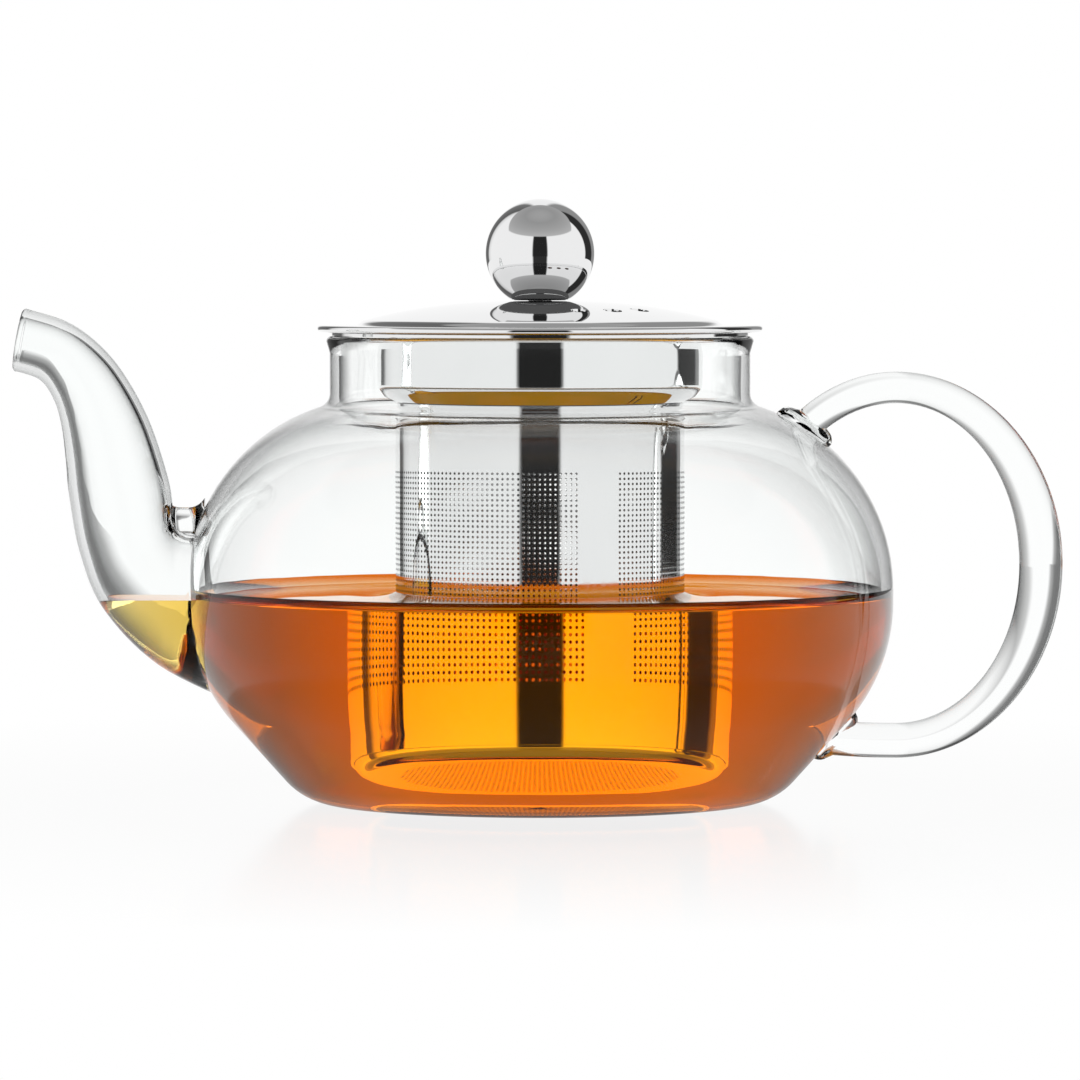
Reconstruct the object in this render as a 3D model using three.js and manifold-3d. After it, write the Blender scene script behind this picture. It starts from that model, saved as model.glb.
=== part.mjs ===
// A glass teapot with a lift-out steel infuser and a steel lid. Millimetres, +Z up.
// The origin is on the pot's axis at its flat underside. The spout points along -X and the handle along +X.
import * as THREE from "three";
import { mergeVertices } from "three/addons/utils/BufferGeometryUtils.js";
import Module from "manifold-3d";

const wasm = await Module();
wasm.setup();

// ---- Gaps ----
const fuseGap = 0.3; // between glass pieces that are fused together on the real pot
const seatGap = 0.1; // between steel faces that rest on each other or are welded
const slideGap = 0.6; // all round the lid's ring inside the infuser's cup

// ---- Glass pot ----
const potRadius = 61.7; // outside, at the widest
const glassWall = 1.9;
const baseRadius = 35.5; // flat underside
const baseCorner = 12; // outside radius of the rounded foot
const flankRadius = 31.5; // outside radius of the lower side
const bellyHeight = 35.2; // height at which the lower side reaches the widest radius
const bellyBand = 2.1; // the upright band between lower and upper side
const shoulderRadius = 33.5; // outside radius of the upper side
const neckRadius = 36.7; // outside
const neckFillet = 2.5; // hollow curve between shoulder and neck
const neckLength = 10; // from that curve to the top of the fire-polished lip
const lipFlare = 0.6; // how far the lip opens beyond the neck
const lipLength = 3; // height over which it opens

// ---- Spout ----
const spoutWall = 1.6;
const bridgeRadius = 2.3; // the short glass bar that ties the spout's back to the pot
const bridgeRise = 14.1; // above the belly's height

// ---- Handle ----
const handleCentreOut = 0.5; // centre of the loop, outwards from the pot's widest radius
const handleCentreRise = 6.5; // above the belly's height
const handleReach = 25.3; // half-width of the loop's centre line
const handleRise = 30.85; // half-height of the loop's centre line
const rodRadiusTop = 2.75;
const rodRadiusSide = 3.8; // the rod is fullest where the hand holds it
const rodRadiusFoot = 3.05;
const jointLength = 6; // half-length of a glass joint along the pot's side
const jointWidth = 4.6; // half-width
const jointHeight = 2.7; // how far it stands off the pot

// ---- Infuser ----
const sheet = 0.5; // pressed steel
const meshSheet = 0.4; // the thinner steel of the sleeve
const flangeOverhang = 0.9; // how far the flange stops short of the lip's outside
const cupRadius = 28.4; // outside
const cupDepth = 9.3; // from the flange down to the cone
const coneDepth = 3.8;
const spigotLength = 5; // the collar's end inside the sleeve
const sleeveRadius = 25.2; // outside
const infuserDepth = 65.6; // from the glass lip down to the infuser's underside
const baseCapCorner = 2.2;
const baseCapHeight = 6;

// ---- Lid ----
const lidRadius = 38.9; // outside of the rolled edge
const rolledEdge = 0.6; // radius of the roll
const crownRadius = 31; // where the crown rises from the flat flange
const crownStep = 0.7; // the low step at the crown's foot
const crownRise = 3.5; // from that step to the top
const ventRadius = 1.65;
const ventCircle = 21.8;
const ventAngles = [-72, -55, -38]; // round the axis, from +X
const ringDepth = 6.5; // the locating ring, below the flange

// ---- Knob ----
const ballRadius = 9.5;
const ballFlat = 4.9; // radius of the flat that sits on the crown
const screwRadius = 2;
const screwClearance = 0.15;
const screwReach = 6; // into the ball
const screwHeadRadius = 3.5;
const screwHeadHeight = 2.2;
const washerRadius = 5;
const washerThickness = 0.8;

// ---- Fineness ----
const potSides = 40;
const steelSides = 36;
const smallSides = 16;

// ---- Shape helpers ----
const radians = THREE.MathUtils.degToRad;
const point = (x, y) => new THREE.Vector2(x, y);

// Points of an arc in a section, from one angle to another.
function arc(x, y, radius, from, to, steps) {
  return new THREE.ArcCurve(x, y, radius, radians(from), radians(to), to < from).getPoints(steps);
}

// A manifold-3d solid of a closed geometry.
function solid(geometry) {
  geometry.deleteAttribute("normal");
  geometry.deleteAttribute("uv");
  const merged = mergeVertices(geometry, 1e-4);
  return new wasm.Manifold(
    new wasm.Mesh({
      numProp: 3,
      vertProperties: new Float32Array(merged.attributes.position.array),
      triVerts: new Uint32Array(merged.index.array),
    }),
  );
}

// A solid turned about Z from a section of (radius, height) points, outside first, upwards.
function turned(section, sides) {
  return solid(new THREE.LatheGeometry(section, sides).rotateX(Math.PI / 2));
}

// A round bar in the XZ plane. sectionAt(t) gives each ring's middle and its half-width, as in-plane vectors.
function swept(sectionAt, sides, rings) {
  const bar = new THREE.CylinderGeometry(1, 1, 1, sides, rings);
  const place = bar.getAttribute("position");
  for (let i = 0; i < place.count; i++) {
    const { middle, half } = sectionAt(0.5 - place.getY(i));
    const across = place.getX(i);
    const x = middle.x + half.x * across;
    const z = middle.y + half.y * across;
    place.setXYZ(i, x, half.length() * place.getZ(i), z);
  }
  return solid(bar);
}

// ---- Materials ----
const glass = { color: 0xf2f7f5, roughness: 0.02, metalness: 0, transparent: true, opacity: 0.35 };
const mirrorSteel = { color: 0xd4d6d8, roughness: 0.06, metalness: 1 };
const satinSteel = { color: 0xc4c6c8, roughness: 0.28, metalness: 1 };

const teapot = new THREE.Group();

function addPiece(name, body, finish) {
  const made = body.getMesh();
  const geometry = new THREE.BufferGeometry();
  geometry.setAttribute("position", new THREE.BufferAttribute(new Float32Array(made.vertProperties), 3));
  geometry.setIndex(new THREE.BufferAttribute(new Uint32Array(made.triVerts), 1));
  geometry.computeVertexNormals();
  const mesh = new THREE.Mesh(geometry, new THREE.MeshStandardMaterial(finish));
  mesh.name = name;
  teapot.add(mesh);
}

// ---- Pot: foot, flank, shoulder and neck are arcs that share their tangents ----
const flankCentre = potRadius - flankRadius;
const shoulderHeight = bellyHeight + bellyBand;
const shoulderCentre = potRadius - shoulderRadius;
const filletCentre = neckRadius + neckFillet;
const neckAngle = Math.acos((filletCentre - shoulderCentre) / (shoulderRadius + neckFillet));
const filletHeight = shoulderHeight + (shoulderRadius + neckFillet) * Math.sin(neckAngle);
const rimHeight = filletHeight + neckLength;
const footToFlank = point(flankCentre - baseRadius, bellyHeight - baseCorner);
const footAngle =
  Math.atan2(footToFlank.x, footToFlank.y) + Math.asin((flankRadius - baseCorner) / footToFlank.length());

// The pot's side from the underside to the start of the lip, moved inwards by inset.
function potSide(inset) {
  const foot = -THREE.MathUtils.radToDeg(footAngle);
  const neck = THREE.MathUtils.radToDeg(neckAngle);
  return [
    point(0, inset),
    ...arc(baseRadius, baseCorner, baseCorner - inset, -90, foot, 3),
    ...arc(flankCentre, bellyHeight, flankRadius - inset, foot, 0, 6),
    ...arc(shoulderCentre, shoulderHeight, shoulderRadius - inset, 0, neck, 8),
    ...arc(filletCentre, filletHeight, neckFillet + inset, 180 + neck, 180, 3),
    point(neckRadius - inset, rimHeight - lipLength),
  ];
}

const lipRadius = neckRadius + lipFlare;
const lip = arc(lipRadius - glassWall / 2, rimHeight - glassWall / 2, glassWall / 2, 0, 180, 6);
const potHollow = turned([...potSide(0), ...lip, ...potSide(glassWall).reverse()], potSides);
const potKeepOut = turned([...potSide(-fuseGap), point(0, rimHeight - lipLength)], potSides);

// The pot's outside at a height: its point in the section, and how far it leans back from upright, in radians.
function potOutsideAt(height) {
  const side = potSide(0);
  const above = side.findIndex((p) => p.y > height);
  const [low, high] = [side[above - 1], side[above]];
  const place = low.clone().lerp(high, (height - low.y) / (high.y - low.y));
  return { place, lean: Math.atan2(low.x - high.x, high.y - low.y) };
}

// ---- Spout: each ring spans from the back rail to the front rail, and the lip comes first ----
// A rail's points are [outwards from the widest radius, above the belly's height].
const backRail = [
  [27.6, 51], [21.2, 49], [16, 45.6], [11.2, 40.2], [6.5, 31.6],
  [3.1, 21.1], [2.2, 14.8], [1, 12.2], [-2.2, 11.5], [-10.7, 11.1],
];
const frontRail = [
  [29.5, 40.1], [25.5, 38.6], [23.1, 35.1], [21.8, 30.6], [21.1, 24.8],
  [20.5, 18.3], [18.6, 8.2], [14.4, -1.6], [4.6, -11.4], [-10.7, -18.8],
];
function rail(points) {
  return new THREE.SplineCurve(points.map(([out, rise]) => point(-potRadius - out, bellyHeight + rise)));
}
const back = rail(backRail);
const front = rail(frontRail);

function spoutSection(inset) {
  return (t) => {
    const half = front.getPoint(t).sub(back.getPoint(t)).divideScalar(2);
    const middle = back.getPoint(t).add(half);
    return { middle, half: half.setLength(half.length() - inset) };
  };
}

const spoutSides = 16;
const spoutRings = 24;
const spoutChannel = swept(spoutSection(spoutWall), spoutSides, spoutRings);
const spoutKeepOut = swept(spoutSection(-fuseGap), spoutSides, spoutRings);
const mouthCut = swept(
  (t) => {
    const { middle, half } = spoutSection(spoutWall)(0);
    const outwards = point(half.y, -half.x).setLength(0.5 - t);
    return { middle: middle.add(outwards), half };
  },
  spoutSides,
  1,
);
const spout = swept(spoutSection(0), spoutSides, spoutRings)
  .subtract(spoutChannel)
  .subtract(mouthCut)
  .subtract(potKeepOut);

const bridgeHeight = bellyHeight + bridgeRise;
const bridgeBack = point(-potOutsideAt(bridgeHeight).place.x + glassWall, bridgeHeight);
const bridgeFront = point(-potRadius - backRail[5][0] - spoutWall, bridgeHeight);
const spoutBridge = swept(
  (t) => ({ middle: bridgeBack.clone().lerp(bridgeFront, t), half: point(0, bridgeRadius) }),
  smallSides,
  1,
)
  .subtract(spoutKeepOut)
  .subtract(potKeepOut);

// ---- Handle: an oval loop from the shoulder round to the foot, then a short straight run to the pot ----
const handleCentre = point(potRadius + handleCentreOut, bellyHeight + handleCentreRise);
const footLift = 0.9; // how much the straight run climbs towards the pot
const footHeight = handleCentre.y - handleRise + footLift;
const footEnd = potOutsideAt(footHeight - rodRadiusFoot).place.x - glassWall;
const loopShare = 0.88; // share of the sweep's rings on the loop

// A point of the loop's centre line, at an angle in degrees from +X.
function loopPoint(degrees) {
  const turn = radians(degrees);
  return point(handleCentre.x + handleReach * Math.cos(turn), handleCentre.y + handleRise * Math.sin(turn));
}

// How far a point lies outside the pot's shoulder.
function offShoulder(p) {
  return Math.hypot(p.x - shoulderCentre, p.y - shoulderHeight) - shoulderRadius;
}

let loopStart = 90; // the angle at which the rod meets the shoulder
while (offShoulder(loopPoint(loopStart)) > 0) loopStart += 0.25;
const rodSink = 3; // degrees of the loop that are then cut away by the pot

function handleMiddle(t) {
  if (t > loopShare) {
    const run = (t - loopShare) / (1 - loopShare);
    const out = THREE.MathUtils.lerp(handleCentre.x, footEnd, run);
    return point(out, handleCentre.y - handleRise + footLift * run ** 2);
  }
  return loopPoint(THREE.MathUtils.lerp(loopStart + rodSink, -90, t / loopShare));
}

function handleSection(grow) {
  return (t) => {
    const middle = handleMiddle(t);
    const ahead = handleMiddle(t + 1e-3).sub(handleMiddle(t - 1e-3));
    const outness = Math.max(0, (middle.x - handleCentre.x) / handleReach);
    const end = middle.y > handleCentre.y ? rodRadiusTop : rodRadiusFoot;
    const radius = THREE.MathUtils.lerp(end, rodRadiusSide, outness ** 2) + grow;
    return { middle, half: point(ahead.y, -ahead.x).setLength(radius) };
  };
}

const handleSides = 12;
const handleRings = 32;
const handle = swept(handleSection(0), handleSides, handleRings).subtract(potKeepOut);
const handleKeepOut = swept(handleSection(fuseGap), handleSides, handleRings);

// A joint is a flattened drop of glass round the rod's end, lying on the pot's side at a height.
function glassJoint(height) {
  const { place, lean } = potOutsideAt(height);
  const drop = new THREE.SphereGeometry(1, smallSides, smallSides / 2);
  drop.scale(jointHeight, jointWidth, jointLength).rotateY(-lean).translate(place.x, 0, place.y);
  return solid(drop).subtract(handleKeepOut).subtract(potKeepOut);
}

addPiece("glass_body", potHollow.subtract(spoutChannel), glass);
addPiece("spout", spout, glass);
addPiece("spout_bridge", spoutBridge, glass);
addPiece("handle", handle, glass);
addPiece("handle_upper_joint", glassJoint(loopPoint(loopStart).y), glass);
addPiece("handle_lower_joint", glassJoint(footHeight), glass);

// ---- Infuser: a collar that hangs on the glass lip, a sleeve and a base cap ----
const flangeBottom = rimHeight + seatGap;
const flangeTop = flangeBottom + sheet;
const flangeRadius = lipRadius - flangeOverhang;
const cupBottom = flangeBottom - cupDepth;
const coneBottom = cupBottom - coneDepth;
const spigotRadius = sleeveRadius - meshSheet - seatGap;
const spigotBottom = coneBottom - spigotLength;
const infuserBottom = rimHeight - infuserDepth;

const collar = turned(
  [
    point(spigotRadius - sheet, spigotBottom),
    point(spigotRadius, spigotBottom),
    point(spigotRadius, coneBottom),
    point(cupRadius, cupBottom),
    point(cupRadius, flangeBottom - sheet),
    ...arc(cupRadius + sheet, flangeBottom - sheet, sheet, 180, 90, 3),
    point(flangeRadius, flangeBottom),
    point(flangeRadius, flangeTop),
    ...arc(cupRadius + sheet, flangeBottom - sheet, 2 * sheet, 90, 180, 3),
    point(cupRadius - sheet, cupBottom),
    point(spigotRadius - sheet, coneBottom),
    point(spigotRadius - sheet, spigotBottom),
  ],
  steelSides,
);

const sleeveTop = coneBottom - seatGap;
const sleeveBottom = infuserBottom + baseCapCorner;
const sleeveInside = sleeveRadius - meshSheet;
const sleeve = turned(
  [
    point(sleeveInside, sleeveBottom),
    point(sleeveRadius, sleeveBottom),
    point(sleeveRadius, sleeveTop),
    point(sleeveInside, sleeveTop),
    point(sleeveInside, sleeveBottom),
  ],
  steelSides,
);

const capCorner = spigotRadius - baseCapCorner;
const capTurn = infuserBottom + baseCapCorner;
const baseCap = turned(
  [
    point(0, infuserBottom),
    ...arc(capCorner, capTurn, baseCapCorner, -90, 0, 4),
    point(spigotRadius, infuserBottom + baseCapHeight),
    point(spigotRadius - sheet, infuserBottom + baseCapHeight),
    ...arc(capCorner, capTurn, baseCapCorner - sheet, 0, -90, 3),
    point(0, infuserBottom + sheet),
  ],
  steelSides,
);

addPiece("infuser_collar", collar, mirrorSteel);
addPiece("infuser_sleeve", sleeve, satinSteel);
addPiece("infuser_base", baseCap, satinSteel);

// ---- Lid: a pressed crown with a rolled edge, a locating ring under it, and the ball knob on its screw ----
const lidBottom = flangeTop + seatGap;
const lidTop = lidBottom + 2 * rolledEdge;
const crownFoot = lidTop + crownStep;

// The crown's height at a radius: almost level in the middle, falling faster towards its foot.
const crownHeight = (radius) => crownFoot + crownRise * (1 - (radius / crownRadius) ** 2.5);
const crownTop = crownHeight(0);
const crownSteps = 8;
const crown = [];
for (let i = 0; i <= crownSteps; i++) {
  const radius = THREE.MathUtils.lerp(crownRadius, screwRadius + screwClearance, i / crownSteps);
  crown.push(point(radius, crownHeight(radius)));
}
const crownUnder = crown.map((p) => point(p.x, p.y - sheet)).reverse();
const rollCentre = point(lidRadius - rolledEdge, lidBottom + rolledEdge);
const cover = turned(
  [
    ...crownUnder,
    point(crownRadius + crownStep, lidTop - sheet),
    point(rollCentre.x - rolledEdge, lidTop - sheet),
    ...arc(rollCentre.x, rollCentre.y, rolledEdge, 180, 450, 8),
    point(crownRadius + crownStep, lidTop),
    ...crown,
    crownUnder[0],
  ],
  steelSides,
);
const vents = ventAngles.map((degrees) => {
  const drill = new THREE.CylinderGeometry(ventRadius, ventRadius, 3 * crownRise, 16);
  drill.rotateX(Math.PI / 2).translate(ventCircle, 0, crownTop).rotateZ(radians(degrees));
  return solid(drill);
});
const ventedCover = vents.reduce((lid, vent) => lid.subtract(vent), cover);

const ringRadius = cupRadius - sheet - slideGap;
const ringTop = crownHeight(ringRadius) - sheet - seatGap;
const ringBottom = lidBottom - ringDepth;
const locatingRing = turned(
  [
    point(ringRadius - sheet, ringBottom),
    point(ringRadius, ringBottom),
    point(ringRadius, ringTop),
    point(ringRadius - sheet, ringTop),
    point(ringRadius - sheet, ringBottom),
  ],
  steelSides,
);

const ballSeat = crownTop + seatGap;
const ballCentre = ballSeat + Math.sqrt(ballRadius ** 2 - ballFlat ** 2);
const flatAngle = -THREE.MathUtils.radToDeg(Math.acos(ballFlat / ballRadius));
const boreRadius = screwRadius + screwClearance;
const screwTop = ballSeat + screwReach;
const ball = turned(
  [
    point(0, screwTop + screwClearance),
    point(boreRadius, screwTop + screwClearance),
    point(boreRadius, ballSeat),
    ...arc(0, ballCentre, ballRadius, flatAngle, 89, 16),
    point(0, ballCentre + ballRadius),
  ],
  steelSides,
);

const washerTop = crownHeight(washerRadius) - sheet - seatGap;
const washerBottom = washerTop - washerThickness;
const washer = turned(
  [
    point(boreRadius, washerBottom),
    point(washerRadius, washerBottom),
    point(washerRadius, washerTop),
    point(boreRadius, washerTop),
    point(boreRadius, washerBottom),
  ],
  smallSides,
);

const headTop = washerBottom - seatGap;
const headCorner = screwHeadHeight / 2;
const screw = turned(
  [
    point(0, headTop - screwHeadHeight),
    ...arc(screwHeadRadius - headCorner, headTop - headCorner, headCorner, -90, 0, 4),
    point(screwHeadRadius, headTop),
    point(screwRadius, headTop),
    point(screwRadius, screwTop),
    point(0, screwTop),
  ],
  smallSides,
);

addPiece("lid_cover", ventedCover, mirrorSteel);
addPiece("lid_locating_ring", locatingRing, satinSteel);
addPiece("knob_ball", ball, mirrorSteel);
addPiece("knob_washer", washer, satinSteel);
addPiece("knob_screw", screw, satinSteel);

export default teapot;
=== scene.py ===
# %% [markdown]
# # A glass teapot with a steel infuser
# The pot is blown from one skin of clear heat-proof glass, about 2 mm thick, with a gooseneck
# spout and a loop handle fused on. A bright steel infuser hangs in its neck, and a domed steel
# lid with a ball knob sits on the infuser. It is half full of black tea.
#
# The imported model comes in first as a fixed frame. It says where every part is and what moves,
# so each finished piece below is built in the same place and rides on the same body.

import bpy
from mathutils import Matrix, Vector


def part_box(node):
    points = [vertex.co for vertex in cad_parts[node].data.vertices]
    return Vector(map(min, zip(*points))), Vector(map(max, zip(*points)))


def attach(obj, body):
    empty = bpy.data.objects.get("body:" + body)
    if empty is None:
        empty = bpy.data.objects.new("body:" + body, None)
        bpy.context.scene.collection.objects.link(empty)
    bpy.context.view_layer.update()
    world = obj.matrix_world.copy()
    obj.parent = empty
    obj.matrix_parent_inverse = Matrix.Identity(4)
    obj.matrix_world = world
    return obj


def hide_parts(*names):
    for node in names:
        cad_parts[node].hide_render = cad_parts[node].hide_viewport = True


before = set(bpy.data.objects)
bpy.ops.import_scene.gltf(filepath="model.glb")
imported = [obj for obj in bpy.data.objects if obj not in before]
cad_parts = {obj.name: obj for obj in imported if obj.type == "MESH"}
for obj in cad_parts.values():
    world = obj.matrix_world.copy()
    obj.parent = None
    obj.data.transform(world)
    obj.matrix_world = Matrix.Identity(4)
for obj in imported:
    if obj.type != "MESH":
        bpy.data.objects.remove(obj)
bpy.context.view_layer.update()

# %% [markdown]
# ## Measures
# The frame is in metres. A glassblower's and a tinsmith's sizes are easier to read in
# millimetres, so sections are written in millimetres, as (distance from the axis, height),
# and turned into metres when a mesh is made.

# %% Sizes of the pot
import math

import bmesh
import bpy
from mathutils import Matrix, Vector, noise as noises

MM = 0.001
scene = bpy.context.scene

glass_wall = 1.9
base_radius = 35.5  # the flat that the pot stands on
base_corner = 12.0
flank_radius = 31.5  # the belly's curve below its widest point
belly_height = 35.2
belly_band = 2.1
shoulder_radius = 33.5
neck_radius = 36.7
neck_fillet = 2.5
neck_length = 10.0
lip_flare = 0.6
lip_length = 3.0

body_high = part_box("glass_body")[1]
pot_radius = round(body_high.y / MM, 2)
print("belly radius from the frame, mm:", pot_radius)

# %% [markdown]
# ## Helpers for round pieces
# Most of this pot was turned or spun in the real workshop as well: glass on a lathe, sheet
# steel over a former. So a section is drawn once and spun about the upright axis. The seam is
# merged and the normals are recalculated, because a spin can come out inside in.


# %% Sections and spins
def arc(x, z, radius, start, end, steps):
    """Points round (x, z), from start to end in degrees."""
    turns = [math.radians(start + (end - start) * i / steps) for i in range(steps + 1)]
    return [(x + radius * math.cos(t), z + radius * math.sin(t)) for t in turns]


def spun(section, steps, closed=True):
    """A bmesh turned from a section in millimetres."""
    bm = bmesh.new()
    verts = [bm.verts.new((x * MM, 0, z * MM)) for x, z in section]
    ring = verts + verts[:1] if closed else verts
    edges = [bm.edges.new(pair) for pair in zip(ring, ring[1:])]
    bmesh.ops.spin(
        bm, geom=verts + edges, cent=(0, 0, 0), axis=(0, 0, 1),
        angle=2 * math.pi, steps=steps, use_merge=True,
    )
    bmesh.ops.remove_doubles(bm, verts=bm.verts, dist=2e-6)
    bmesh.ops.recalc_face_normals(bm, faces=bm.faces)
    return bm


# %% [markdown]
# Swept pieces, the spout and the handle, are lofts: a circle is laid over the first section,
# its edge is extruded, and the new ring is moved on to the next section, and so on.


# %% Lofts
def section(middle, half):
    """Lays the unit circle over a section, given its middle and half its width in millimetres."""
    size = half.length
    columns = ((half.x, 0, half.y), (0, size, 0), (-half.y, 0, half.x), (middle.x, 0, middle.y))
    lay = Matrix.Identity(4)
    for i, column in enumerate(columns):
        lay.col[i].xyz = Vector(column) * MM
    return lay


def lofted(frames, sides, ring_shaped=False):
    """A solid through the frames, capped at both ends, or joined end to end."""
    bm = bmesh.new()
    bmesh.ops.create_circle(bm, segments=sides, radius=1, matrix=frames[0])
    first = edges = bm.edges[:]
    for before, after in zip(frames, frames[1:]):
        made = bmesh.ops.extrude_edge_only(bm, edges=edges)["geom"]
        ring = [g for g in made if isinstance(g, bmesh.types.BMVert)]
        known = set(ring)
        edges = [
            g for g in made if isinstance(g, bmesh.types.BMEdge) and known.issuperset(g.verts)
        ]
        bmesh.ops.transform(bm, matrix=after @ before.inverted(), verts=ring)
    if ring_shaped:
        bmesh.ops.bridge_loops(bm, edges=first + edges)
    else:
        bmesh.ops.edgeloop_fill(bm, edges=first)
        bmesh.ops.edgeloop_fill(bm, edges=edges)
    bmesh.ops.recalc_face_normals(bm, faces=bm.faces)
    return bm


# %% [markdown]
# Fused glass, a drilled lid and tea that fills two vessels are joined or cut with Boolean
# modifiers, which are applied at once so that the finished mesh is plain geometry.


# %% Objects, joins and cuts
def as_object(name, bm):
    mesh = bpy.data.meshes.new(name)
    bm.to_mesh(mesh)
    bm.free()
    obj = bpy.data.objects.new(name, mesh)
    scene.collection.objects.link(obj)
    return obj


def combined(base, *others):
    """base after each (operation, solid) in turn."""
    obj = as_object("work", base)
    for operation, other in others:
        tool = as_object("tool", other)
        step = obj.modifiers.new("step", "BOOLEAN")
        step.operation, step.object, step.solver = operation, tool, "EXACT"
        graph = bpy.context.evaluated_depsgraph_get()
        mesh = bpy.data.meshes.new_from_object(obj.evaluated_get(graph))
        obj.modifiers.clear()
        obj.data = mesh
        bpy.data.objects.remove(tool)
    bm = bmesh.new()
    bm.from_mesh(obj.data)
    bpy.data.objects.remove(obj)
    return bm


def finished(name, bm, body, material, replaces=(), sharp=35):
    """Makes the object, smooths it up to the sharp angle, and ties it to the frame."""
    obj = as_object(name, bm)
    obj.data.materials.append(material)
    obj.data.shade_smooth()
    obj.data.set_sharp_from_angle(angle=math.radians(sharp))
    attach(obj, body)
    if replaces:
        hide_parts(*replaces)
    size = [round(s / MM, 1) for s in obj.dimensions]
    print(f"{name}: {len(obj.data.polygons)} faces, {size} mm")
    return obj


# %% [markdown]
# ## Materials
# Each finish is a small node tree on the piece's own object coordinates, in metres. A noise
# texture drives fine changes of colour and roughness, and a second one a bump, as no blown
# glass is quite even and no polished sheet quite flat. What is even all over, such as the
# index of refraction, is set on the shader itself.


# %% Node helpers
def nodes_of(name):
    mat = bpy.data.materials.new(name)
    mat.use_nodes = True
    tree = mat.node_tree
    shader = tree.nodes["Principled BSDF"]
    place = tree.nodes.new("ShaderNodeTexCoord").outputs["Object"]
    return mat, tree, shader, place


def noise(tree, place, scale, detail=2.0, stretch=(1, 1, 1), roughness=0.5):
    turn = tree.nodes.new("ShaderNodeMapping")
    turn.inputs["Scale"].default_value = stretch
    tree.links.new(place, turn.inputs["Vector"])
    texture = tree.nodes.new("ShaderNodeTexNoise")
    texture.inputs["Scale"].default_value = scale
    texture.inputs["Detail"].default_value = detail
    texture.inputs["Roughness"].default_value = roughness
    tree.links.new(turn.outputs["Vector"], texture.inputs["Vector"])
    return texture.outputs["Fac"]


def fitted(tree, value, start, end, low=0.0, high=1.0, smooth=False):
    """Maps start..end to low..high. Each of them is a number or a socket."""
    fit = tree.nodes.new("ShaderNodeMapRange")
    if smooth:
        fit.interpolation_type = "SMOOTHSTEP"
    for name, limit in (("From Min", start), ("From Max", end), ("To Min", low), ("To Max", high)):
        if isinstance(limit, (int, float)):
            fit.inputs[name].default_value = limit
        else:
            tree.links.new(limit, fit.inputs[name])
    tree.links.new(value, fit.inputs["Value"])
    return fit.outputs["Result"]


def spread(tree, value, low, high, socket):
    """Maps a noise, which mostly lies between 0.3 and 0.7, to low..high on a socket."""
    tree.links.new(fitted(tree, value, 0.3, 0.7, low, high), socket)


def tint(tree, value, dark, light, socket=None):
    mix = tree.nodes.new("ShaderNodeMix")
    mix.data_type = "RGBA"
    mix.inputs["A"].default_value = (*dark, 1)
    mix.inputs["B"].default_value = (*light, 1)
    tree.links.new(value, mix.inputs["Factor"])
    if socket:
        tree.links.new(mix.outputs["Result"], socket)
    return mix.outputs["Result"]


def bump(tree, value, distance, strength, shader, before=None):
    node = tree.nodes.new("ShaderNodeBump")
    node.inputs["Distance"].default_value = distance
    node.inputs["Strength"].default_value = strength
    tree.links.new(value, node.inputs["Height"])
    if before:
        tree.links.new(before, node.inputs["Normal"])
    tree.links.new(node.outputs["Normal"], shader.inputs["Normal"])
    return node.outputs["Normal"]


# %% Ramps and sums of nodes
def ramp(tree, value, stops):
    """A colour ramp in greys, from (position, brightness) stops."""
    node = tree.nodes.new("ShaderNodeValToRGB")
    elements = node.color_ramp.elements
    while len(elements) < len(stops):
        elements.new(0.5)
    for element, (position, grey) in zip(elements, stops):
        element.position = position
        element.color = (grey, grey, grey, 1)
    tree.links.new(value, node.inputs["Fac"])
    return node.outputs["Color"]


def math_node(tree, operation, a, b=None):
    node = tree.nodes.new("ShaderNodeMath")
    node.operation = operation
    for socket, value in zip(node.inputs, (a, b)):
        if isinstance(value, (int, float)):
            socket.default_value = value
        elif value is not None:
            tree.links.new(value, socket)
    return node.outputs["Value"]


def mixed(tree, factor, a, b):
    """a where the factor is 0 and b where it is 1: greys, colours or sockets."""
    node = tree.nodes.new("ShaderNodeMix")
    node.data_type = "RGBA"
    for socket, value in ((node.inputs["A"], a), (node.inputs["B"], b)):
        if isinstance(value, (int, float)):
            socket.default_value = (value, value, value, 1)
        elif isinstance(value, tuple):
            socket.default_value = (*value, 1)
        else:
            tree.links.new(value, socket)
    tree.links.new(factor, node.inputs["Factor"])
    return node.outputs["Result"]


# %% [markdown]
# The glass has almost no colour of its own. Its outline is what shows it, so its colour is painted
# grey where its outside is seen edge-on: painted shade for the dark lines at its edges.
# The painted shade starts sooner on the thick rod of the handle and on the spout than on the thin
# belly. Its mirror reflections are held back a good deal, because the studio below is brighter in
# front than a real one and would lay a veil over the tea.


# %% Clear glass
glass_mirroring = 0.08  # of what glass really mirrors
# Painted shade: the grey that the glass's colour turns where its outside is seen edge-on
painted_edge_shade_grey = (0.25, 0.26, 0.26)
thin_edge, thick_edge, edge_end = 0.64, 0.05, 0.95  # 0 is seen square on, and 1 edge-on


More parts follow.
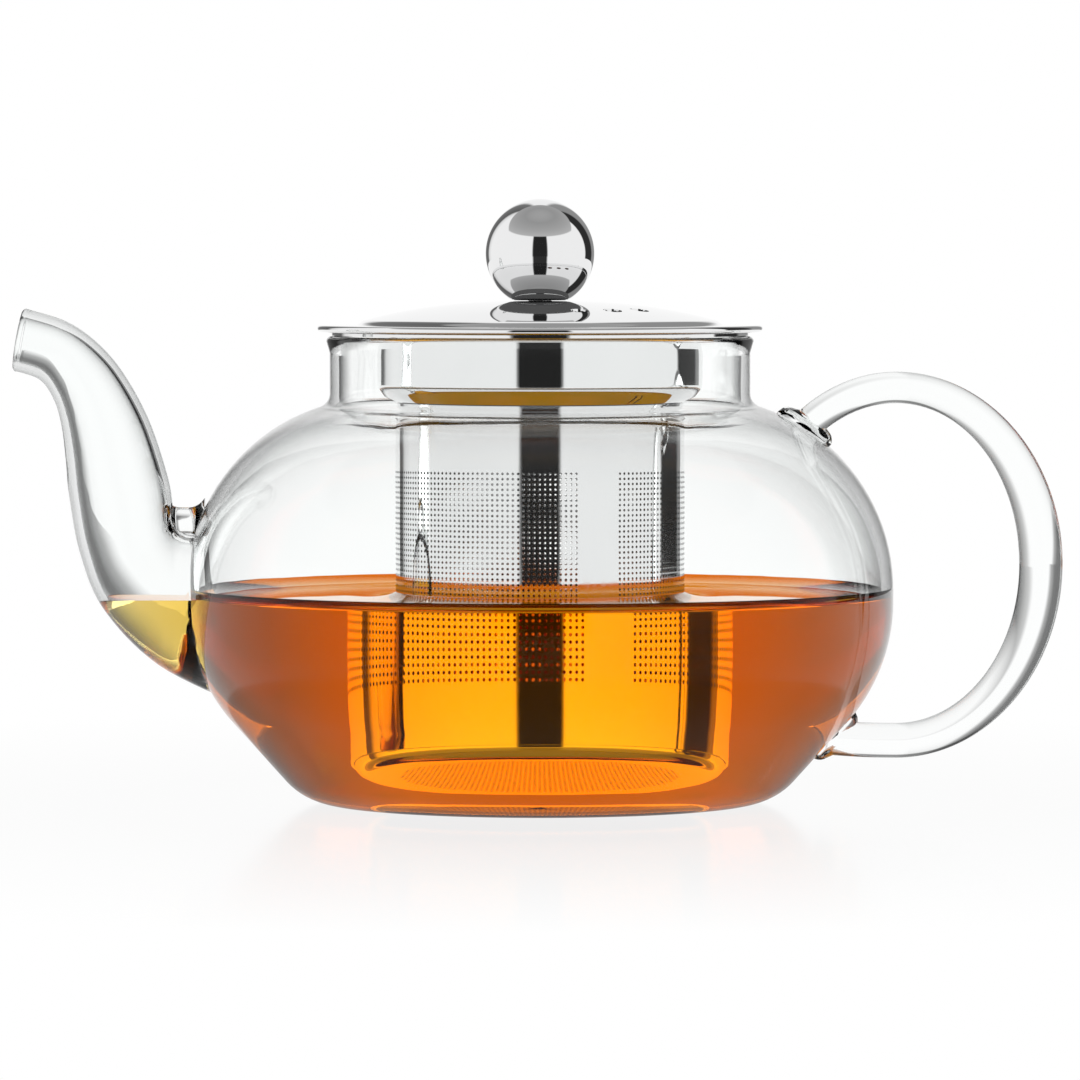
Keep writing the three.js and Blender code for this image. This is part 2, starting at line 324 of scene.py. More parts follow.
def clear_glass():
    mat, tree, shader, place = nodes_of("clear_glass")
    shader.inputs["Transmission Weight"].default_value = 1
    shader.inputs["IOR"].default_value = 1.47
    shader.inputs["Specular Tint"].default_value = (*[glass_mirroring] * 3, 1)
    slow = noise(tree, place, 24, 1.0)
    clear = tint(tree, slow, (0.975, 0.99, 0.985), (0.995, 1, 0.998))
    level = tree.nodes.new("ShaderNodeVectorMath")
    level.operation = "MULTIPLY"
    level.inputs[1].default_value = (1, 1, 0)
    tree.links.new(place, level.inputs[0])
    off_axis = tree.nodes.new("ShaderNodeVectorMath")
    off_axis.operation = "LENGTH"
    tree.links.new(level.outputs["Vector"], off_axis.inputs[0])
    edge_start = fitted(
        tree, off_axis.outputs["Value"], (pot_radius + 0.1) * MM, (pot_radius + 2.8) * MM,
        thin_edge, thick_edge,
    )
    # Painted shade: the colour turns grey as the outside is seen more edge-on, on front faces only
    facing = tree.nodes.new("ShaderNodeLayerWeight")
    facing.inputs["Blend"].default_value = 0.5
    edge = fitted(tree, facing.outputs["Facing"], edge_start, edge_end, smooth=True)
    inside = tree.nodes.new("ShaderNodeNewGeometry").outputs["Backfacing"]
    share = math_node(tree, "MULTIPLY", edge, math_node(tree, "SUBTRACT", 1, inside))
    tree.links.new(mixed(tree, share, clear, painted_edge_shade_grey), shader.inputs["Base Color"])
    spread(tree, slow, 0.0, 0.006, shader.inputs["Roughness"])
    bump(tree, noise(tree, place, 55, 1.5), 0.0004, 0.16, shader)
    return mat


glass = clear_glass()
print("made", glass.name)


# %% [markdown]
# Tea is a clear liquid: it bends light like water and takes out the blue, then the green, over
# the length of the way through it. So its surface is plain transmission and its colour comes
# from absorption in the volume, deeper where the way is longer.


# %% Tea
def black_tea(name, mirroring):
    mat, tree, shader, place = nodes_of(name)
    shader.inputs["Transmission Weight"].default_value = 1
    shader.inputs["IOR"].default_value = 1.333
    shader.inputs["Specular Tint"].default_value = (*[mirroring] * 3, 1)
    slow = noise(tree, place, 30, 1.0)
    tint(tree, slow, (0.99, 0.985, 0.975), (1, 1, 1), shader.inputs["Base Color"])
    spread(tree, slow, 0.0, 0.006, shader.inputs["Roughness"])
    bump(tree, noise(tree, place, 40, 1.0), 0.0002, 0.06, shader)
    absorb = tree.nodes.new("ShaderNodeVolumeAbsorption")
    absorb.inputs["Color"].default_value = (0.975, 0.8, 0.05, 1)
    absorb.inputs["Density"].default_value = 100
    tree.links.new(absorb.outputs["Volume"], tree.nodes["Material Output"].inputs["Volume"])
    return mat


tea = black_tea("black_tea", 0.1)  # where it wets glass, it hardly mirrors anything
open_tea = black_tea("black_tea_surface", 1)
print("made", tea.name, open_tea.name)


# %% [markdown]
# The steel has three finishes. The collar, lid and ball are mirror polished, with only the
# faint long waves of a buffing wheel. The infuser's sheet is bright rolled steel, a little
# softer. The parts inside the lid are satin, brushed round the axis.


# %% Steel
def steel(name, dark, light, rough_low, rough_high, wave, brushed=0.0):
    mat, tree, shader, place = nodes_of(name)
    shader.inputs["Metallic"].default_value = 1
    slow = noise(tree, place, 60, 2.0)
    tint(tree, slow, dark, light, shader.inputs["Base Color"])
    fine = noise(tree, place, 900, 3.0, stretch=(1, 1, 1 + 5 * brushed))
    spread(tree, fine, rough_low, rough_high, shader.inputs["Roughness"])
    first = bump(tree, noise(tree, place, 45, 1.0), 0.0002, wave, shader)
    if brushed:
        bump(tree, fine, 0.00003, 0.25 * brushed, shader, first)
    return mat


mirror_steel = steel("mirror_steel", (0.80, 0.803, 0.806), (0.86, 0.861, 0.863), 0.012, 0.035, 0.04)
rolled_steel = steel("rolled_steel", (0.78, 0.782, 0.785), (0.85, 0.85, 0.852), 0.03, 0.07, 0.06)
satin_steel = steel("satin_steel", (0.58, 0.585, 0.59), (0.68, 0.68, 0.685), 0.22, 0.34, 0.1, 1.0)
print("made", mirror_steel.name, rolled_steel.name, satin_steel.name)

# %% [markdown]
# ## The belly
# A round-bellied pot is blown into a mould and its neck is drawn out on a lathe. Its side is
# five arcs: the corner at the foot, the flank, the shoulder, a small fillet and the neck.
# Each arc runs into the next without a kink, so the angles where they meet are worked out,
# not guessed. The same curve, moved in by the wall's thickness, gives the inside, and the lip
# is a half round, melted smooth in the flame.

# %% The belly's section
flank_centre = pot_radius - flank_radius
shoulder_height = belly_height + belly_band
shoulder_centre = pot_radius - shoulder_radius
fillet_centre = neck_radius + neck_fillet
neck_angle = math.acos((fillet_centre - shoulder_centre) / (shoulder_radius + neck_fillet))
fillet_height = shoulder_height + (shoulder_radius + neck_fillet) * math.sin(neck_angle)
rim_height = fillet_height + neck_length
foot_x, foot_z = flank_centre - base_radius, belly_height - base_corner
foot_angle = math.atan2(foot_x, foot_z) + math.asin(
    (flank_radius - base_corner) / math.hypot(foot_x, foot_z)
)
foot, neck = -math.degrees(foot_angle), math.degrees(neck_angle)
lip_radius = neck_radius + lip_flare


def pot_side(inset):
    """The belly from the middle of its floor up to just under the lip."""
    return [
        (0, inset),
        *[(base_radius * i / 6, inset) for i in range(1, 6)],
        *arc(base_radius, base_corner, base_corner - inset, -90, foot, 10),
        *arc(flank_centre, belly_height, flank_radius - inset, foot, 0, 16)[1:],
        *arc(shoulder_centre, shoulder_height, shoulder_radius - inset, 0, neck, 22),
        *arc(fillet_centre, fillet_height, neck_fillet + inset, 180 + neck, 180, 10)[1:],
        (neck_radius - inset, fillet_height + 0.4),
        (neck_radius - inset, rim_height - lip_length - 0.4),
        (neck_radius - inset, rim_height - lip_length),
    ]


lip = arc(lip_radius - glass_wall / 2, rim_height - glass_wall / 2, glass_wall / 2, 0, 180, 8)
pot_steps = 160
print("rim height, mm:", round(rim_height, 2), "frame:", round(body_high.z / MM, 2))

# %% [markdown]
# ## The spout
# The gooseneck is drawn from a separate tube, wide where it leaves the belly and narrow at the
# mouth, and fused over a hole. It is lofted through sections that stand between two smooth
# rails, its back and its front. The outside runs up to the mouth, turns over a rounded lip,
# and comes back down as the inside.

# %% The spout's rails
spout_wall = 1.6
# (outwards from the belly's widest point, up from its height), from the mouth to the root
spout_back = [
    (27.6, 51), (21.2, 49), (16, 45.6), (11.2, 40.2), (6.5, 31.6),
    (3.1, 21.1), (2.2, 14.8), (1, 12.2), (-2.2, 11.5), (-10.7, 11.1),
]
spout_front = [
    (29.5, 40.1), (25.5, 38.6), (23.1, 35.1), (21.8, 30.6), (21.1, 24.8),
    (20.5, 18.3), (18.6, 8.2), (14.4, -1.6), (4.6, -11.4), (-10.7, -18.8),
]


def along(points, t):
    """A smooth curve through evenly weighted points, at t from 0 to 1."""
    at = min(max(t, 0), 1) * (len(points) - 1)
    i = min(int(at), len(points) - 2)
    last = len(points) - 1
    a, b, c, d = (
        Vector(points[max(i - 1, 0)]), Vector(points[i]),
        Vector(points[i + 1]), Vector(points[min(i + 2, last)]),
    )
    u = at - i
    leave, arrive = (c - a) / 2, (d - b) / 2
    return (
        (2 * b - 2 * c + leave + arrive) * u**3
        + (3 * c - 3 * b - 2 * leave - arrive) * u**2
        + leave * u + b
    )


def spout_at(t, inset):
    """Middle and half width of the spout's section, in millimetres."""
    out_b, rise_b = along(spout_back, t)
    out_f, rise_f = along(spout_front, t)
    back = Vector((-pot_radius - out_b, belly_height + rise_b))
    front = Vector((-pot_radius - out_f, belly_height + rise_f))
    half = (front - back) / 2
    return back + half, half.normalized() * (half.length - inset)


def spout_frames(inset, start=0.0, end=1.0, count=70):
    return [
        section(*spout_at(start + (end - start) * i / count, inset)) for i in range(count + 1)
    ]


# %% The spout's tube
lip_bead = 0.95  # half the thickness of the melted lip


def mouth_frames():
    """Rings over the lip, from the outside to the inside."""
    middle, half = spout_at(0, 0)
    outwards = Vector((half.y, -half.x)).normalized()
    if outwards.y < 0 and outwards.x > 0:
        outwards = -outwards
    rings = []
    for i in range(1, 8):
        turn = math.pi * i / 8
        reach = half.length - spout_wall / 2 + lip_bead * math.cos(turn)
        rings.append(
            section(middle + outwards * lip_bead * math.sin(turn), half.normalized() * reach)
        )
    return rings


outside = spout_frames(0)[::-1]
inside = spout_frames(spout_wall)
spout_tube = lofted(outside + mouth_frames() + inside, 48, ring_shaped=True)
spout_channel = lofted(spout_frames(spout_wall + 0.02, 0.3), 48)
print("spout tube faces:", len(spout_tube.faces))

# %% [markdown]
# ## The bridge and the handle
# A short bar of glass braces the spout against the shoulder, so that it doesn't snap off. The
# handle is a solid rod bent into a loop. It is thickest at the side, where it was not pulled,
# and each end is pressed on to the belly while hot, which leaves a drop of glass there.

# %% Places on the belly's outside
bridge_radius = 2.3
bridge_height = belly_height + 14.1


def outside_at(height):
    """Radius and lean of the belly's outside at a height."""
    side = pot_side(0)
    above = next(i for i, p in enumerate(side) if p[1] > height)
    low, high = side[above - 1], side[above]
    share = (height - low[1]) / (high[1] - low[1])
    lean = math.atan2(low[0] - high[0], high[1] - low[1])
    return low[0] + (high[0] - low[0]) * share, lean


def bridge_frames():
    start = Vector((-outside_at(bridge_height)[0] + glass_wall / 2, bridge_height))
    end = Vector((-pot_radius - spout_back[5][0] - spout_wall / 2, bridge_height))
    rings = []
    for i in range(17):
        share = i / 16
        swell = 1 + 0.75 * abs(2 * share - 1) ** 3  # it spreads where it is fused on
        rings.append(section(start.lerp(end, share), Vector((0, bridge_radius * swell))))
    return rings


# %% The handle's loop
handle_centre = Vector((pot_radius + 0.5, belly_height + 6.5))
handle_reach = 25.3
handle_rise = 30.85
rod_top, rod_side, rod_foot = 2.75, 3.8, 3.05
foot_lift = 0.9
foot_height = handle_centre.y - handle_rise + foot_lift
foot_end = outside_at(foot_height - rod_foot)[0] - glass_wall
loop_share = 0.88


def loop_point(degrees):
    turn = math.radians(degrees)
    return handle_centre + Vector((handle_reach * math.cos(turn), handle_rise * math.sin(turn)))


def off_shoulder(p):
    return math.hypot(p.x - shoulder_centre, p.y - shoulder_height) - shoulder_radius


loop_start = 90.0
while off_shoulder(loop_point(loop_start)) > 0:
    loop_start += 0.25


def handle_middle(t):
    if t > loop_share:
        run = (t - loop_share) / (1 - loop_share)
        out = handle_centre.x + (foot_end - handle_centre.x) * run
        return Vector((out, handle_centre.y - handle_rise + foot_lift * run**2))
    top = loop_start + 3
    return loop_point(top + (-90 - top) * t / loop_share)


def handle_frame(t):
    middle = handle_middle(t)
    ahead = handle_middle(t + 1e-3) - handle_middle(t - 1e-3)
    outness = max(0, (middle.x - handle_centre.x) / handle_reach)
    end = rod_top if middle.y > handle_centre.y else rod_foot
    radius = end + (rod_side - end) * outness**2
    return section(middle, Vector((ahead.y, -ahead.x)).normalized() * radius)


drop_half_size = (2.5, 3.1, 5.4)  # out of the belly, along it and up it
drop_wrinkle, wrinkle_scale = 0.09, 2.3


def glass_drop(height):
    """The pressed end of the handle: a wrinkled flat drop on the belly's side."""
    radius, lean = outside_at(height)
    bm = bmesh.new()
    bmesh.ops.create_uvsphere(bm, u_segments=40, v_segments=24, radius=MM)
    lay = (
        Matrix.Translation(Vector((radius, 0, height)) * MM)
        @ Matrix.Rotation(-lean, 4, "Y")
        @ Matrix.Diagonal((*drop_half_size, 1))
    )
    for v in bm.verts:
        v.co *= 1 + drop_wrinkle * noises.noise(v.co / MM * wrinkle_scale)
    bmesh.ops.transform(bm, matrix=lay, verts=bm.verts)
    return bm


# %% The pot in one piece of glass
handle_rod = lofted([handle_frame(i / 140) for i in range(141)], 32)
hollow = [*pot_side(glass_wall / 2), (0, rim_height - lip_length)]  # up to the middle of the wall
fused_on = combined(
    handle_rod,
    ("UNION", glass_drop(loop_point(loop_start).y)),
    ("UNION", glass_drop(foot_height)),
    ("DIFFERENCE", spun(hollow, pot_steps)),
)
spout_side = combined(
    lofted(bridge_frames(), 32),
    ("DIFFERENCE", spout_channel.copy()),
    ("UNION", spout_tube),
    ("DIFFERENCE", spun(hollow, pot_steps)),
)
belly = spun([*pot_side(0), *lip, *pot_side(glass_wall)[::-1]], pot_steps)
pot = combined(
    belly, ("DIFFERENCE", spout_channel), ("UNION", spout_side), ("UNION", fused_on)
)
glass_nodes = (
    "glass_body", "spout", "spout_bridge", "handle", "handle_upper_joint", "handle_lower_joint",
)
pot_glass = finished("pot_glass", pot, "pot", glass, glass_nodes, sharp=60)

# %% [markdown]
# ## The tea
# The tea fills the belly and the spout to the same level. Its mesh reaches 0.15 mm
# into the glass: light then goes from glass to tea in one step, with no film of air
# between. It creeps up where it wets glass and steel, which draws the dark line at its edge.

# %% The tea's body
tea_level = 35.8
tea_into_glass = 0.15
sleeve_radius, sleeve_sheet = 25.2, 0.4
creep_length = 1.9
creep_steps = (0, 0.25, 0.6, 1.1, 1.8, 2.8, 4.2, 6.5, 10)


def creep(at, rise, way):
    """The curved edge of the tea, from a wall at a radius, inwards (-1) or outwards (1)."""
    return [(at + way * s, tea_level + rise * math.exp(-s / creep_length)) for s in creep_steps]


glass_rise, steel_rise = 1.9, 1.1
wet_side = [p for p in pot_side(glass_wall - tea_into_glass) if p[1] < tea_level + glass_rise]
wet_radius = outside_at(tea_level)[0] - glass_wall + tea_into_glass
tea_section = [
    *wet_side,
    *creep(wet_radius, glass_rise, -1),
    *creep(sleeve_radius, steel_rise, 1)[::-1],
    *creep(sleeve_radius - sleeve_sheet, steel_rise, -1),
    (0, tea_level),
]
spout_tea = lofted(spout_frames(spout_wall - tea_into_glass, 0.4, 0.95), 48)
bmesh.ops.bisect_plane(
    spout_tea, geom=spout_tea.verts[:] + spout_tea.edges[:] + spout_tea.faces[:],
    plane_co=(0, 0, tea_level * MM), plane_no=(0, 0, 1), clear_outer=True,
)
bmesh.ops.holes_fill(spout_tea, edges=spout_tea.edges)
bmesh.ops.recalc_face_normals(spout_tea, faces=spout_tea.faces)
tea_body = combined(spun(tea_section, pot_steps), ("UNION", spout_tea))
tea_piece = finished("tea", tea_body, "pot", tea, sharp=50)
tea_piece.data.materials.append(open_tea)
upward = 0.3  # the least upward part of the normal on the open surface
for face in tea_piece.data.polygons:
    if face.normal.z > upward and face.center.z > (tea_level - 0.5) * MM:
        face.material_index = 1

# %% [markdown]
# ## The infuser
# The collar is pressed from one sheet: a flange that hangs on the glass lip, a cup, a sloping
# step and a short spigot that holds the sleeve. Its edges are rolled, so the section turns
# through small arcs.

# %% The collar
sheet = 0.5
seat_gap = 0.1  # between steel that rests on glass or on steel
flange_bottom = rim_height + seat_gap
flange_top = flange_bottom + sheet
flange_radius = lip_radius - 0.9
cup_radius = 28.4
cup_bottom = flange_bottom - 9.3
cone_bottom = cup_bottom - 3.8
spigot_radius = sleeve_radius - sleeve_sheet - seat_gap
spigot_bottom = cone_bottom - 5


def turned_wall(line, thickness):
    """A closed section: the line, and the same line moved to its left by the thickness."""
    points = [Vector(p) for p in line]
    moved = []
    for i, p in enumerate(points):
        before = (p - points[i - 1]).normalized() if i else None
        after = (points[i + 1] - p).normalized() if i + 1 < len(points) else None
        way = ((before or after) + (after or before)).normalized()
        side = Vector((-way.y, way.x))
        lean = side.dot(Vector((-(after or before).y, (after or before).x)))
        moved.append(p + side * thickness / max(lean, 0.5))
    return [tuple(p) for p in points + moved[::-1]]


bend = 0.9
collar_line = [
    (spigot_radius, spigot_bottom),
    (spigot_radius, cone_bottom - 0.6),
    (spigot_radius + 0.12, cone_bottom - 0.1),
    (spigot_radius + 0.55, cone_bottom + 0.5),
    (cup_radius - 0.8, cup_bottom - 0.75),
    (cup_radius - 0.2, cup_bottom - 0.05),
    (cup_radius, cup_bottom + 0.7),
    (cup_radius, cup_bottom + 1.0),  # a ring near each end keeps the shading of the wall flat
    (cup_radius, flange_bottom - bend - 0.3),
    *arc(cup_radius + bend, flange_bottom - bend, bend, 180, 90, 6),
    (flange_radius, flange_bottom),
]
collar = finished(
    "infuser_collar_bright", spun(turned_wall(collar_line, sheet), 128), "infuser",
    mirror_steel, ("infuser_collar",),
)

# %% [markdown]
# The sleeve is a perforated sheet rolled into a tube. Its holes go right through, so one cell
# is made first: a small square with a hole of six sides. Cells are stacked into a column,
# the column is bent to the sleeve's curve and then spun as copies round the axis. A plain
# strip is left where the sheet's two edges are welded.

# %% Perforated cells
hole_radius = 0.25
columns, plain_columns, hole_rows = 174, 8, 36
pitch = 2 * math.pi * sleeve_radius / columns
rows_top = 58.3 + pitch / 2
rows_bottom = rows_top - hole_rows * pitch
infuser_bottom = rim_height - 65.6
sleeve_bottom = infuser_bottom + 2.2
sleeve_top = cone_bottom - 0.1


def hole_cell(bm, x, z):
    """A square of sheet in the plane facing -Y, with a hole in its middle."""
    stand = Matrix.Translation(Vector((x, 0, z)) * MM) @ Matrix.Rotation(math.pi / 2, 4, "X")
    corner = pitch / math.sqrt(2) * MM
    quarter = stand @ Matrix.Rotation(math.pi / 4, 4, "Z")
    rims = [
        bmesh.ops.create_circle(bm, segments=4, radius=corner, matrix=quarter),
        bmesh.ops.create_circle(bm, segments=6, radius=hole_radius * MM, matrix=stand),
    ]
    edges = {e for rim in rims for v in rim["verts"] for e in v.link_edges}
    bmesh.ops.triangle_fill(bm, edges=list(edges), use_beauty=True)


def plain_cell(bm, z_low, z_high, x=0):
    stand = Matrix.Translation(Vector((x, 0, (z_low + z_high) / 2)) * MM)
    stand = stand @ Matrix.Rotation(math.pi / 2, 4, "X")
    stand = stand @ Matrix.Diagonal((pitch, z_high - z_low, 1, 1))
    bmesh.ops.create_grid(bm, x_segments=1, y_segments=1, size=MM / 2, matrix=stand)


def rolled_column(holes):
    bm = bmesh.new()
    for row in range(hole_rows):
        z = rows_top - (row + 0.5) * pitch
        if holes:
            hole_cell(bm, 0, z)
        else:
            plain_cell(bm, z - pitch / 2, z + pitch / 2)
    for low, high in ((sleeve_bottom, rows_bottom), (rows_top, sleeve_top)):
        for i in range(3):
            step = (high - low) / 3
            plain_cell(bm, low + i * step, low + (i + 1) * step)
    for v in bm.verts:
        turn = v.co.x / (sleeve_radius * MM)
        v.co.x = math.sin(turn) * sleeve_radius * MM
        v.co.y = -math.cos(turn) * sleeve_radius * MM
    return bm


# %% The sleeve
def sleeve_sheet_mesh():
    cell = 2 * math.pi / columns
    seam_start = math.radians(15.3)
    sheet_mesh = bpy.data.meshes.new("sheet")
    whole = bmesh.new()
    for holes, count, start in (
        (True, columns - plain_columns, seam_start + plain_columns * cell),
        (False, plain_columns, seam_start),
    ):
        bm = rolled_column(holes)
        bmesh.ops.rotate(
            bm, verts=bm.verts, cent=(0, 0, 0), matrix=Matrix.Rotation(start + cell / 2, 3, "Z")
        )
        bmesh.ops.spin(
            bm, geom=bm.verts[:] + bm.edges[:] + bm.faces[:], cent=(0, 0, 0), axis=(0, 0, 1),
            angle=cell * (count - 1), steps=count - 1, use_duplicate=True,
        )
        bm.to_mesh(sheet_mesh)
        bm.free()
        whole.from_mesh(sheet_mesh)
    bmesh.ops.remove_doubles(whole, verts=whole.verts, dist=4e-6)
    return whole


def faced_out(bm):
    """Turns an open sheet's faces away from the axis."""
    bmesh.ops.recalc_face_normals(bm, faces=bm.faces)
    face = bm.faces[:][0]
    if face.normal.xy.dot(face.calc_center_median().xy) < 0:
        bmesh.ops.reverse_faces(bm, faces=bm.faces)
    return bm


def walled(bm, thickness):
    """Gives a sheet that faces out its thickness, inwards."""
    bm.normal_update()
    bmesh.ops.solidify(bm, geom=bm.faces[:], thickness=thickness * MM)
    bmesh.ops.recalc_face_normals(bm, faces=bm.faces)
    return bm


sleeve_mesh = walled(faced_out(sleeve_sheet_mesh()), sleeve_sheet)
sleeve = finished(
    "infuser_sleeve_perforated", sleeve_mesh, "infuser", rolled_steel,
    ("infuser_sleeve",), sharp=50,
)

# %% [markdown]
# The base is a shallow cap pressed from the same sheet, with a round field of holes. Its
# middle is a patch of the same cells, cut off at the field's edge, and the ring between the
# patch and the cap's rounded corner is filled in.

# %% The base
arc_steps, wall_steps, wall_step = 6, 2, 2.0
field_radius = 18.6
cap_corner = 2.2
cap_radius = spigot_radius + 0.05


def perforated_disc(z, rim):
    bm = bmesh.new()
    reach = int(field_radius / pitch)
    for i in range(-reach, reach + 1):
        for j in range(-reach, reach + 1):
            if math.hypot(i, j) * pitch < field_radius:
                hole_cell(bm, i * pitch, j * pitch)
    bmesh.ops.remove_doubles(bm, verts=bm.verts, dist=4e-6)
    outline = [e for e in bm.edges if e.is_boundary and min(
        math.hypot(v.co.x, v.co.z) for v in e.verts) > 0]
    stairs = [e for e in outline if abs(e.calc_length() - pitch * MM) < 0.1 * MM]
    ring = bmesh.ops.create_circle(
        bm, segments=96, radius=rim * MM, matrix=Matrix.Rotation(math.pi / 2, 4, "X")
    )["verts"]
    circle = list({e for v in ring for e in v.link_edges})
    bmesh.ops.triangle_fill(bm, edges=stairs + circle, use_beauty=True)
    lay = Matrix.Translation((0, 0, z * MM)) @ Matrix.Rotation(math.radians(45), 4, "Z")
    lay = lay @ Matrix.Rotation(-math.pi / 2, 4, "X")
    bmesh.ops.transform(bm, matrix=lay, verts=bm.verts)
    return bm


base = perforated_disc(infuser_bottom, cap_radius - cap_corner)
rim_edges = [
    e for e in base.edges
    if e.is_boundary and min(v.co.xy.length for v in e.verts) > (cap_radius - cap_corner - 0.2) * MM
]
for step in range(1, arc_steps + wall_steps + 1):
    made = bmesh.ops.extrude_edge_only(base, edges=rim_edges)["geom"]
    ring = [g for g in made if isinstance(g, bmesh.types.BMVert)]
    rim_edges = [
        g for g in made
        if isinstance(g, bmesh.types.BMEdge) and set(ring).issuperset(g.verts)
    ]
    turn = math.pi / 2 * min(step / arc_steps, 1)
    radius = cap_radius - cap_corner + cap_corner * math.sin(turn)
    height = infuser_bottom + cap_corner * (1 - math.cos(turn))
    height += wall_step * max(step - arc_steps, 0)
    for v in ring:
        v.co.xy = v.co.xy.normalized() * radius * MM
        v.co.z = height * MM
bmesh.ops.recalc_face_normals(base, faces=base.faces)
low_face = min(base.faces, key=lambda f: f.calc_center_median().length)
if low_face.normal.z > 0:
    bmesh.ops.reverse_faces(base, faces=base.faces)
infuser_base = finished(
    "infuser_base_perforated", walled(base, sheet), "infuser", rolled_steel,
    ("infuser_base",), sharp=50,
)
for piece in (sleeve, infuser_base):
    print(piece.name, "box, mm:", [[round(c / MM, 1) for c in piece.bound_box[i]] for i in (0, 6)])

# %% [markdown]
# ## The lid
# The cover is spun to a low dome with a step and a rolled edge, and three vents are drilled
# through it. Below it hangs the locating ring that centres it in the cup. The knob is a hollow
# ball with a flat, held from below by a screw and a washer.

# %% The cover
lid_radius = 38.9
rolled_edge = 0.6
crown_radius, crown_step, crown_rise = 31.0, 0.7, 3.5
lid_bottom = flange_top + seat_gap
lid_top = lid_bottom + 2 * rolled_edge
crown_foot = lid_top + crown_step
bore_radius = 2.15


def crown_height(radius):
    return crown_foot + crown_rise * (1 - (radius / crown_radius) ** 2.5)


crown = []
for i in range(31):
    radius = crown_radius + (bore_radius - crown_radius) * i / 30
    crown.append((radius, crown_height(radius)))
under = [(x, z - sheet) for x, z in crown][::-1]
roll_x, roll_z = lid_radius - rolled_edge, lid_bottom + rolled_edge
cover_section = [
    *under,
    (crown_radius + 0.25, crown_foot - sheet - 0.25),
    (crown_radius + crown_step, lid_top - sheet),
    (roll_x - rolled_edge, lid_top - sheet),
    *arc(roll_x, roll_z, rolled_edge, 180, 450, 14),
    (crown_radius + crown_step + 0.3, lid_top),
    (crown_radius + 0.4, crown_foot - 0.35),
    *crown,
]
vent_radius, vent_circle = 1.65, 21.8


def drill(degrees):
    bm = bmesh.new()
    turn = math.radians(degrees)
    place = Vector((math.cos(turn) * vent_circle, math.sin(turn) * vent_circle, crown_foot)) * MM
    bmesh.ops.create_cone(
        bm, cap_ends=True, segments=32, radius1=vent_radius * MM, radius2=vent_radius * MM,
        depth=12 * MM, matrix=Matrix.Translation(place),
    )
    return bm


vents = [("DIFFERENCE", drill(turn)) for turn in (-72, -55, -38)]
cover = finished(
    "lid_cover_bright", combined(spun(cover_section, 144), *vents), "lid",
    mirror_steel, ("lid_cover",), sharp=30,
)

# %% The locating ring, ball, washer and screw
ring_radius = cup_radius - sheet - 0.6
ring_top = crown_height(ring_radius) - sheet - 0.1
ring_bottom = lid_bottom - 6.5


def softened(bm, width, angle=50):
    """Rounds the edges sharper than an angle, as tumbling does."""
    bm.normal_update()
    edges = [
        e for e in bm.edges
        if len(e.link_faces) == 2 and e.calc_face_angle() > math.radians(angle)
    ]
    bmesh.ops.bevel(
        bm, geom=edges, offset=width * MM, offset_type="OFFSET", segments=3, profile=0.5,
        affect="EDGES", material=-1, clamp_overlap=True,
    )
    return bm


ring_section = [
    (ring_radius - sheet, ring_bottom), (ring_radius, ring_bottom),
    (ring_radius, ring_top), (ring_radius - sheet, ring_top),
]
finished(
    "lid_ring_satin", softened(spun(ring_section, 128), 0.1), "lid", satin_steel,
    ("lid_locating_ring",),
)
ball_radius, ball_flat = 9.5, 4.9
ball_seat = crown_height(0) + 0.1
ball_centre = ball_seat + math.sqrt(ball_radius**2 - ball_flat**2)
screw_top = ball_seat + 6
flat_angle = -math.degrees(math.acos(ball_flat / ball_radius))
ball_section = [
    (0, screw_top + 0.15), (bore_radius, screw_top + 0.15), (bore_radius, ball_seat),
    (ball_flat - 0.35, ball_seat), (ball_flat - 0.1, ball_seat + 0.12),
    *arc(0, ball_centre, ball_radius, flat_angle + 1.5, 90, 48),
]
ball = finished(
    "knob_ball_bright", spun(ball_section, 96), "lid", mirror_steel,
    ("knob_ball",), sharp=50,
)
washer_top = crown_height(5) - sheet - 0.1
washer_section = [
    (bore_radius, washer_top - 0.8), (5, washer_top - 0.8), (5, washer_top),
    (bore_radius, washer_top),
]
washer = finished(
    "knob_washer_satin", softened(spun(washer_section, 48), 0.12), "lid",
    satin_steel, ("knob_washer",),
)
head_top = washer_top - 0.9
screw_section = [
    (0, head_top - 2.2), *arc(3.5 - 1.1, head_top - 1.1, 1.1, -90, 0, 6), (3.5, head_top),
    (2, head_top), (2, screw_top), (0, screw_top),
]


def slotted_screw():
    slot_cut = bmesh.new()
    place = Matrix.Translation((0, 0, (head_top - 2.2) * MM))
    bmesh.ops.create_cube(slot_cut, size=MM, matrix=place @ Matrix.Diagonal((9, 0.9, 1.6, 1)))
    return combined(softened(spun(screw_section, 40), 0.12), ("DIFFERENCE", slot_cut))


screw = finished(
    "knob_screw_satin", slotted_screw(), "lid", satin_steel, ("knob_screw",)
)

# %% [markdown]
# ## The studio
# A glass pot is lit from behind: the background is pure white, and dark cards at the sides
# draw the dark lines that show its edges. Bright steel shows what stands in front of it: two
# wide soft boxes with the dark gap for the camera between them.
#
# All of that is one environment, painted by direction. It isn't one real room: what a ray sees
# depends on what it has met. A ray from the camera sees plain white, one that glass has bent
# sees the backdrop and the cards, and one that steel has mirrored sees the soft boxes. A ray
# that has crossed more than four surfaces of glass and liquid is taken to have gone through
# tea. It gets a dimmer backdrop, and more light on steel. That stands in for a long way through
# tea, and is tuned, so it is only a stand-in in any other room or from other sides.


# %% The light round the pot
pot_surfaces = 4.5  # the two walls of the pot have four surfaces
tea_dimming, steel_in_tea, deep_light = 0.8, 2.1, 0.12


def turn_share(degrees):
    """Where a bearing from the camera's side (-Y), clockwise seen from above, lies on the ramp."""
    return 0.5 + degrees / 360


